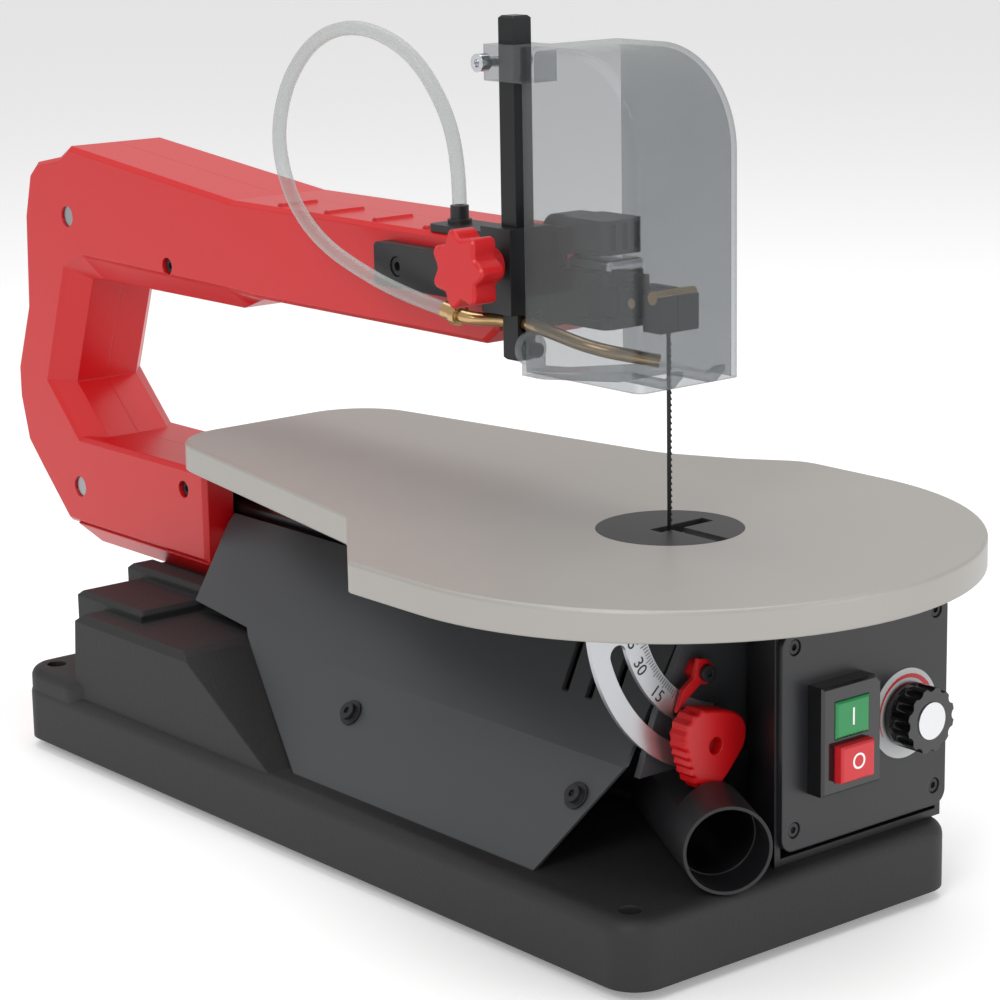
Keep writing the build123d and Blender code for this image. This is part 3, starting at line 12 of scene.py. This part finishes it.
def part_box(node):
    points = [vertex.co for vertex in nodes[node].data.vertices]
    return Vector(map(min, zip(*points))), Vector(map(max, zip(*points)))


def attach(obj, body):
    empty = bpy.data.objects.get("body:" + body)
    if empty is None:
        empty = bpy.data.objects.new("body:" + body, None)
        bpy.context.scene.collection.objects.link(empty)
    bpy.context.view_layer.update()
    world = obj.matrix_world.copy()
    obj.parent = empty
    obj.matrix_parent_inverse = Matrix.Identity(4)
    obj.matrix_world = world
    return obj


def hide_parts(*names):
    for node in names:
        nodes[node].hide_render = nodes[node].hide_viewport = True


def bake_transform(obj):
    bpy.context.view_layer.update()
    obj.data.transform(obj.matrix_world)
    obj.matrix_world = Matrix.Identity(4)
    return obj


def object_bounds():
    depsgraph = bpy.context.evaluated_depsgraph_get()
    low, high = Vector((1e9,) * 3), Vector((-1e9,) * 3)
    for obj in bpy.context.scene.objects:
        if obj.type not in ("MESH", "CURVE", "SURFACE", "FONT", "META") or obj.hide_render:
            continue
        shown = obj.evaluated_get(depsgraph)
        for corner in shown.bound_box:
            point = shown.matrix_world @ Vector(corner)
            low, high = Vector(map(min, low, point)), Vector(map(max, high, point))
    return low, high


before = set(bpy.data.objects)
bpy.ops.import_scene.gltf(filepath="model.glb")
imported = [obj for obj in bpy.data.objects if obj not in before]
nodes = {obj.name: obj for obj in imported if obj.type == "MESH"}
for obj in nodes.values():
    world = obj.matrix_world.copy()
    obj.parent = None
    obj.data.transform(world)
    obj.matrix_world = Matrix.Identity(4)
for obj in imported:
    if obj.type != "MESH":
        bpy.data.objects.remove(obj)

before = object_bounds()
MM = 0.001
BLADE = Vector((0.136, 0.005, 0.146))      # where the blade meets the table
TILT_AXIS_Z = -13                          # the table's tilt axis, in mm from the table's surface


def at(x, y, z):
    """A point given in millimetres from the blade at the table's surface."""
    return BLADE + Vector((x, y, z)) * MM


print(len(nodes), "CAD nodes, in a box from", before[0], "to", before[1])

# %% [markdown]
# ## Colours and finishes
# The real saw is painted sheet, cast metal and moulded plastic. Pictures of those could be wrapped
# round each piece, but small noise patterns in the piece's own space need no files and have no seams.
# Hex colours are read as sRGB and turned into Blender's linear values in one place.

# %% Helpers for shaders
def linear(hex_colour):
    channels = [int(hex_colour[i:i + 2], 16) / 255 for i in (1, 3, 5)]
    return [c / 12.92 if c <= 0.04045 else ((c + 0.055) / 1.055) ** 2.4 for c in channels] + [1.0]


def set_inputs(tree, node, inputs):
    """Set a node's inputs to numbers or colours, or link them from other nodes' outputs."""
    for name, value in inputs.items():
        if isinstance(value, bpy.types.NodeSocket):
            tree.links.new(value, node.inputs[name])
        else:
            node.inputs[name].default_value = value


def add_node(tree, kind, inputs=None):
    node = tree.nodes.new(kind)
    set_inputs(tree, node, inputs or {})
    return node


def new_surface(name, colour, rough):
    """A material with its colour and gloss set on the shader's own sockets."""
    mat = bpy.data.materials.new(name)
    mat.use_nodes = True
    shader = mat.node_tree.nodes["Principled BSDF"]
    set_inputs(mat.node_tree, shader, {"Base Color": linear(colour), "Roughness": rough})
    return mat, mat.node_tree, shader


# %% Solid finishes
GRAIN_DEPTH = 0.3 * MM      # how far the grain's bumps stand up
PATCH_SIZE = 40 * MM        # size of the patches where the gloss changes a little


def finish(name, colour, rough, metal=0.0, grain_mm=0.0, grain=0.0, edge_mm=0.4, coat=0.0,
           patch=0.0):
    """One surface: colour, gloss, rounded edges, and if asked a fine grain and patches of gloss."""
    mat, tree, shader = new_surface(name, colour, rough)
    set_inputs(tree, shader, {"Metallic": metal, "Coat Weight": coat})
    normal = add_node(tree, "ShaderNodeBevel", {"Radius": edge_mm * MM}).outputs["Normal"]
    coords = add_node(tree, "ShaderNodeTexCoord").outputs["Object"]
    if grain:
        noise = add_node(tree, "ShaderNodeTexNoise",
                         {"Vector": coords, "Scale": 1 / (grain_mm * MM), "Detail": 4.0})
        bump = add_node(tree, "ShaderNodeBump",
                        {"Height": noise.outputs["Fac"], "Normal": normal, "Strength": grain,
                         "Distance": GRAIN_DEPTH})
        normal = bump.outputs["Normal"]
    if patch:
        wear = add_node(tree, "ShaderNodeTexNoise",
                        {"Vector": coords, "Scale": 1 / PATCH_SIZE, "Detail": 3.0})
        spread = add_node(tree, "ShaderNodeMapRange",
                          {"Value": wear.outputs["Fac"], "To Min": rough - patch,
                           "To Max": rough + patch})
        set_inputs(tree, shader, {"Roughness": spread.outputs["Result"]})
    set_inputs(tree, shader, {"Normal": normal})
    return mat


# %% Clear finishes
CLEAR_TINT = "#E6E7E8"      # the faint grey that one wall of clear plastic adds
EDGE_ON = 0.55              # how much more of the plastic shows where it is seen edge on


def clear(name, colour, rough, alpha):
    """Thin clear plastic: mostly see-through, with a surface that still catches the light."""
    mat, tree, shader = new_surface(name, colour, rough)
    see = add_node(tree, "ShaderNodeBsdfTransparent", {"Color": linear(CLEAR_TINT)})
    facing = add_node(tree, "ShaderNodeLayerWeight", {"Blend": 0.35})
    amount = add_node(tree, "ShaderNodeMapRange",
                      {"Value": facing.outputs["Facing"], "To Min": alpha, "To Max": alpha + EDGE_ON})
    mix = add_node(tree, "ShaderNodeMixShader",
                   {0: amount.outputs["Result"], 1: see.outputs["BSDF"], 2: shader.outputs["BSDF"]})
    set_inputs(tree, tree.nodes["Material Output"], {"Surface": mix.outputs["Shader"]})
    return mat


# %% [markdown]
# ## The saw's materials
# Each one starts from what the real piece is made of and how its surface was made. A moulded part
# has a fine grain from its mould, a casting a coarse one, and plain or plated steel none. A grain
# too fine to see from here is drawn as coarse as it needs to show.

# %% Plastics and rubber
# Arm housing, lock knobs and pointer: strong red, with a soft gloss that breaks up on the grain.
RED = finish("Red moulded plastic", "#C20A12", 0.33, grain_mm=0.8, grain=0.12, edge_mm=0.8)
# Dust port, switch box, lever and screw heads: black with a dull sheen.
BLACK = finish("Black moulded plastic", "#17171A", 0.45, grain_mm=0.8, grain=0.10, edge_mm=0.5)
# Speed knob and switch frame, from a polished mould: nearly black, with sharp highlights.
GLOSS = finish("Gloss black plastic", "#0D0D0F", 0.14, edge_mm=0.5, coat=0.4)
# Feet and bellows: no highlight, only a faint grain.
RUBBER = finish("Black rubber", "#151515", 0.75, grain_mm=0.6, grain=0.2)
# Push buttons: even in colour, with a smooth face. The board behind the panel is lacquered.
GREEN = finish("Green button", "#1F8A4C", 0.30, edge_mm=0.8)
STOP_RED = finish("Red button", "#C81F28", 0.30, edge_mm=0.8)
BOARD = finish("Green circuit board", "#1D5B34", 0.45)

# %% Cast, painted and plated metal
# The heavy base, under a textured black paint: rough, with a grain that shows.
CASTING = finish("Black textured casting", "#1B1B1D", 0.62, grain_mm=1.4, grain=0.55, edge_mm=1.2)
# The table: warm grey and satin, with faint patches of gloss.
TABLE = finish("Satin grey cast table", "#A19E99", 0.40, metal=0.25, grain_mm=3, grain=0.05,
               edge_mm=1.0, patch=0.05)
# Folded covers and the panel: smooth paint with a very light orange peel.
SHEET = finish("Dark grey painted sheet", "#3F4144", 0.36, grain_mm=1.0, grain=0.08, edge_mm=0.5)
PANEL = finish("Black panel sheet", "#1D1E21", 0.36, grain_mm=1.2, grain=0.12, edge_mm=0.8)
# Rod, arms, holders and blade are dark and half metallic; the scale is pale with uneven gloss.
DARK_STEEL = finish("Blackened steel", "#1E1F21", 0.30, metal=0.5, edge_mm=0.5)
ZINC = finish("Zinc plated steel", "#B9BBBE", 0.30, metal=0.9, edge_mm=0.2, patch=0.06)
# Turned pins and shafts, then the tension strap and guard screw, which are nearly mirrors.
STEEL = finish("Bright steel", "#9C9EA2", 0.28, metal=1.0, edge_mm=0.2, patch=0.05)
CHROME = finish("Chromed steel", "#D5D7DA", 0.10, metal=1.0, edge_mm=0.4)
# The nozzle and holder pins are warm and shiny, the bushes browner and duller.
BRASS = finish("Champagne tinted metal", "#C2A274", 0.24, metal=0.9, edge_mm=0.2)
BRONZE = finish("Bronze bush", "#8A6638", 0.4, metal=1.0)
SPUN = finish("Spun aluminium cap", "#D8D9DB", 0.22, metal=1.0, edge_mm=0.2)

# %% Clear plastic and print
# The guard is almost invisible face on; the foot and the hose show a little more of themselves.
GUARD = clear("Clear guard moulding", "#8E9292", 0.05, 0.05)
FORK = clear("Clear fork moulding", "#A9B0B0", 0.08, 0.12)
TUBE = clear("Soft clear PVC tube", "#C9CCC8", 0.12, 0.14)
# Screen prints are matt and have hardly any edge of their own.
LABEL = finish("Printed grey label", "#B9BBBC", 0.5, edge_mm=0.1)
WHITE = finish("White print", "#F2F2F0", 0.5, edge_mm=0.05)
INK = finish("Black print", "#1A1A1A", 0.5, edge_mm=0.05)
RED_INK = finish("Red print", "#C0262C", 0.5, edge_mm=0.05)

# %% Which piece has which finish
FINISHES = {
    CASTING: ["base_casting"],
    RUBBER: ["rubber_feet", "air_bellows"],
    RED: ["arm_shell_left", "arm_shell_right", "tilt_lock_knob", "guard_lock_knob", "tilt_pointer"],
    TABLE: ["table"],
    SHEET: ["side_cover", "far_cover", "front_plate", "frame_plate", "rear_cross_plate"],
    BLACK: ["housing_screws", "hold_down_screw", "cable_gland", "switch_box", "guard_bracket",
            "hose_clip_plate", "dust_port", "speed_pot", "table_insert", "blade_clamp_screw",
            "scale_screws", "bracket_screws", "tension_lever", "motor_body"],
    PANEL: ["control_panel"],
    GLOSS: ["switch_frame", "speed_knob"],
    ZINC: ["tilt_scale"],
    DARK_STEEL: ["guard_rod", "upper_arm", "lower_arm", "upper_blade_holder", "lower_blade_holder",
                 "saw_blade"],
    STEEL: ["arm_pivot_pins", "tension_link", "conrod_pins", "crank_shaft", "connecting_rod",
            "table_pivot_pins", "motor_fan"],
    CHROME: ["tension_strap", "guard_screw"],
    BRASS: ["upper_holder_pins", "lower_holder_pins", "blower_nozzle", "hose_end_fitting"],
    BRONZE: ["arm_bushes"],
    SPUN: ["speed_knob_cap"],
    GREEN: ["start_button"],
    STOP_RED: ["stop_button"],
    LABEL: ["dial_label"],
    BOARD: ["control_board"],
    GUARD: ["blade_guard"],
    FORK: ["hold_down_foot"],
}
for material, names in FINISHES.items():
    for name in names:
        nodes[name].data.materials.clear()
        nodes[name].data.materials.append(material)
plain = sorted(set(nodes) - {n for names in FINISHES.values() for n in names})
print("nodes without a finish:", plain)

# %% [markdown]
# ## Printed letters
# The scale's angles and the two button symbols are thin screen prints. A text curve has clean
# outlines at any size, so each print starts as one. It becomes a mesh before it is put in place, so
# that its object stays at the origin as every CAD piece's does.

# %% Helpers for prints
FACING_FRONT = Matrix(((0, 0, 1), (1, 0, 0), (0, 1, 0)))      # text's X runs along +Y, its Z along +X
PRINT_HALF = 0.05           # half of a letter's thickness, in mm


def as_mesh(source):
    bpy.context.view_layer.update()
    graph = bpy.context.evaluated_depsgraph_get()
    return bpy.data.meshes.new_from_object(source.evaluated_get(graph))


def keep_mesh(name, mesh, material, body):
    mesh.materials.clear()
    mesh.materials.append(material)
    obj = bpy.data.objects.new(name, mesh)
    bpy.context.scene.collection.objects.link(obj)
    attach(obj, body)
    print(name, "rides on", body, "with", len(mesh.polygons), "faces")


def print_text(name, words, centre, size_mm, material, body, turn_deg=0.0):
    curve = bpy.data.curves.new(name, "FONT")
    curve.body = words
    curve.size = size_mm * MM
    curve.align_x = "CENTER"
    curve.align_y = "CENTER"
    curve.extrude = PRINT_HALF * MM
    source = bpy.data.objects.new(name, curve)
    bpy.context.scene.collection.objects.link(source)
    mesh = as_mesh(source)
    bpy.data.objects.remove(source)
    place = FACING_FRONT @ Matrix.Rotation(math.radians(turn_deg), 3, "Z")
    mesh.transform(Matrix.Translation(centre) @ place.to_4x4())
    keep_mesh(name, mesh, material, body)


def on_ring(centre, radius, angle):
    """A point on a ring that faces +X; the angle runs from straight down towards the left."""
    a = math.radians(angle)
    return centre + Vector((0, -radius * math.sin(a), -radius * math.cos(a))) * MM


# %% The scale's numbers
SCALE_FACE_X = 37.0         # the scale's front face
DIGIT_LIFT = 0.06           # how far the middle of a number stands off it
DIGIT_RING = 56.0           # radius that the numbers stand on, about the tilt axis
DIGIT_SIZE = 7.0
DIGIT_ANGLES = {"0": 34.5, "15": 47.5, "30": 63.0, "45": 75.0}      # each by its own tick
digit_centre = at(SCALE_FACE_X + DIGIT_LIFT, 0, TILT_AXIS_Z)
for words, angle in DIGIT_ANGLES.items():
    print_text("scale_" + words, words, on_ring(digit_centre, DIGIT_RING, angle), DIGIT_SIZE, INK,
               "table", turn_deg=-angle)


# %% The button symbols
def on_button(node):
    """The middle of a button's front face, where a print just stands off it."""
    low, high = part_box(node)
    return Vector((high[0] + PRINT_HALF * MM, (low[1] + high[1]) / 2, (low[2] + high[2]) / 2))


print_text("start_symbol", "I", on_button("start_button"), 10.0, WHITE, "start_button")
print_text("stop_symbol", "O", on_button("stop_button"), 9.0, WHITE, "stop_button")

# %% [markdown]
# ## Marks that follow an arc
# The scale's ticks, the speed dial's growing crescent and the knob's pointer line are flat prints
# too. Each mark is a short stretch of a ring, so one function draws them all from radii and angles.

# %% Helper for arcs
def arc_marks(name, centre, marks, material, body):
    """Flat marks facing +X: each one is an inner and outer radius and a start and end angle."""
    verts, faces = [], []
    for r_in, r_out, start, end in marks:
        faces.append(list(range(len(verts), len(verts) + 4)))
        for radius, angle in ((r_in, start), (r_in, end), (r_out, end), (r_out, start)):
            verts.append(on_ring(centre, radius, angle))
    mesh = bpy.data.meshes.new(name)
    mesh.from_pydata(verts, [], faces)
    keep_mesh(name, mesh, material, body)


# %% Scale ticks
TICK_LIFT = 0.08            # how far the ticks stand off the scale's face
TICK_FOOT = 49.6            # radius where every tick starts
TICK_LENGTH, LONG_TICK_LENGTH = 2.4, 3.4
TICK_COUNT = 31
FIRST_TICK, TICK_STEP, TICK_WIDTH = 32, 1.5, 0.35      # degrees
ticks = []
for i in range(TICK_COUNT):
    angle = FIRST_TICK + i * TICK_STEP
    tick_length = TICK_LENGTH if i % 5 else LONG_TICK_LENGTH
    ticks.append((TICK_FOOT, TICK_FOOT + tick_length, angle, angle + TICK_WIDTH))
arc_marks("scale_ticks", at(SCALE_FACE_X + TICK_LIFT, 0, TILT_AXIS_Z), ticks, INK, "table")

# %% Speed dial
DIAL_Y, DIAL_Z = 57.5, -71.3                   # the knob's axis
LABEL_PRINT_X, KNOB_PRINT_X = 71.95, 83.6      # how far forward the two prints lie
CRESCENT_R, THIN_END, THICK_END = 14.2, 0.4, 2.6
CRESCENT_START, CRESCENT_STEP, CRESCENT_STEPS = 60, 10, 23
POINTER_LINE = (8.6, 11.6, 128, 136)
crescent = []
for i in range(CRESCENT_STEPS):
    angle = CRESCENT_START + CRESCENT_STEP * i
    width = THIN_END + (THICK_END - THIN_END) * i / (CRESCENT_STEPS - 1)
    crescent.append((CRESCENT_R, CRESCENT_R + width, angle, angle + CRESCENT_STEP))
arc_marks("dial_crescent", at(LABEL_PRINT_X, DIAL_Y, DIAL_Z), crescent, RED_INK, "root")
arc_marks("knob_mark", at(KNOB_PRINT_X, DIAL_Y, DIAL_Z), [POINTER_LINE], WHITE, "speed_knob")

# %% [markdown]
# ## The air hose
# The real hose is a soft clear tube that springs up out of its collar and loops down to the blower
# nozzle's end fitting. Straight runs with rounded corners would look like bent wire, so one smooth
# NURBS curve goes by the route's points. On the real saw the hose bends between the housing and the
# guard, because its lower end goes up and down with the guard rod; the tube drawn here is one fixed
# shape.

# %% The hose's route
HOSE_D = 6.0 * MM
ROUTE = [(-106, -17, 118.5), (-106, -17, 136), (-110, -20, 158), (-125, -25, 180), (-150, -31, 190),
         (-175, -35, 185), (-192, -38.5, 167), (-198.5, -40.5, 145), (-194, -41.5, 127),
         (-184, -42, 112), (-165, -42.5, 99), (-138, -42, 90), (-112, -40.3, 83.5), (-90, -38, 80)]
points = [at(*p) for p in ROUTE]
route = bpy.data.curves.new("air_hose", "CURVE")
route.dimensions = "3D"
spline = route.splines.new("NURBS")
spline.points.add(len(points) - 1)
for point, place in zip(spline.points, points):
    point.co = (*place, 1.0)
spline.order_u = 3
spline.use_endpoint_u = True
spline.resolution_u = 12
route_obj = bpy.data.objects.new("air_hose_line", route)
bpy.context.scene.collection.objects.link(route_obj)

# %% The hose's tube
line = [v.co.copy() for v in as_mesh(route_obj).vertices]
route.bevel_depth = HOSE_D / 2
route.bevel_resolution = 6
tube = as_mesh(route_obj)
bpy.data.objects.remove(route_obj)
tube.materials.clear()
tube.materials.append(TUBE)
hose = bpy.data.objects.new("air_hose", tube)
bpy.context.scene.collection.objects.link(hose)
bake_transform(hose)
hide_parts("blower_hose")

# %% [markdown]
# ## Studio
# A pale floor, a soft key from the upper left, a fill from the right and a wide overhead panel. Large
# lights make soft shadows, and a little glow in the floor keeps it pale without stronger lights.

# %% Floor and sky
FLOOR_HALF = 9.0            # metres from the middle to each edge
FLOOR_Z = before[0][2]      # the saw's lowest point, where its rubber feet stand
scene = bpy.context.scene
ground = bpy.data.meshes.new("floor")
ground.from_pydata([(-FLOOR_HALF, -FLOOR_HALF, FLOOR_Z), (FLOOR_HALF, -FLOOR_HALF, FLOOR_Z),
                    (FLOOR_HALF, FLOOR_HALF, FLOOR_Z), (-FLOOR_HALF, FLOOR_HALF, FLOOR_Z)],
                   [], [(0, 1, 2, 3)])
floor = bpy.data.objects.new("floor", ground)
scene.collection.objects.link(floor)
pale = finish("Pale studio floor", "#F1F1F1", 0.9)
set_inputs(pale.node_tree, pale.node_tree.nodes["Principled BSDF"],
           {"Emission Color": linear("#FFFFFF"), "Emission Strength": 0.22})
ground.materials.append(pale)
world = bpy.data.worlds.new("studio")
scene.world = world
world.use_nodes = True
set_inputs(world.node_tree, world.node_tree.nodes["Background"],
           {"Color": linear("#FFFFFF"), "Strength": 0.62})

# %% Lights
LIGHTS_AIM = Vector((0.05, 0, 0.15))        # about the middle of the saw


def soft_light(name, place, size, power):
    data = bpy.data.lights.new(name, "AREA")
    data.size = size
    data.energy = power
    light = bpy.data.objects.new(name, data)
    light.location = place
    aim = LIGHTS_AIM - Vector(place)
    light.rotation_euler = aim.to_track_quat("-Z", "Y").to_euler()
    scene.collection.objects.link(light)
    return light


lights = [soft_light("key", (0.9, -1.6, 1.5), 0.8, 17),
          soft_light("fill", (1.9, 0.7, 0.7), 1.2, 8),
          soft_light("overhead", (-0.2, 0.2, 1.9), 1.6, 17)]
print(len(lights), "lights,", sum(light.data.energy for light in lights), "W together")

# %% [markdown]
# ## Camera
# A long lens at the saw's front left corner, a little above the table, keeps the table's round front
# and the long arm in true proportion. The camera stands on a sphere about the blade, then moves
# sideways and up in its own view.

# %% Camera
AZIMUTH, ELEVATION, ROLL = 50.59, 12.675, -1.0146         # degrees
DISTANCE, SIDE, RISE = 1.13655, -0.06635, 0.02192         # metres
LENS, SENSOR = 104.87, 36                                 # mm
SHIFT_UP = -0.0287                                        # share of the sensor's width
az, el, roll = (math.radians(v) for v in (AZIMUTH, ELEVATION, ROLL))
back = Vector((math.sin(az) * math.cos(el), -math.cos(az) * math.cos(el), math.sin(el)))
right = (-back).cross(Vector((0, 0, 1))).normalized()
top = right.cross(-back)
right, top = (right * math.cos(roll) + top * math.sin(roll),
              top * math.cos(roll) - right * math.sin(roll))
camera_data = bpy.data.cameras.new("camera")
camera_data.lens = LENS
camera_data.sensor_width = SENSOR
camera_data.shift_y = SHIFT_UP
camera_data.clip_end = 30
camera = bpy.data.objects.new("camera", camera_data)
spot = BLADE + back * DISTANCE + right * SIDE + top * RISE
camera.matrix_world = Matrix.Translation(spot) @ Matrix((right, top, back)).transposed().to_4x4()
scene.collection.objects.link(camera)
scene.camera = camera
print("camera at", [round(v, 3) for v in spot])

# %% Light paths and colours
scene.cycles.transparent_max_bounces = 16      # guard walls, foot and hose lie behind one another
scene.view_settings.view_transform = "Standard"
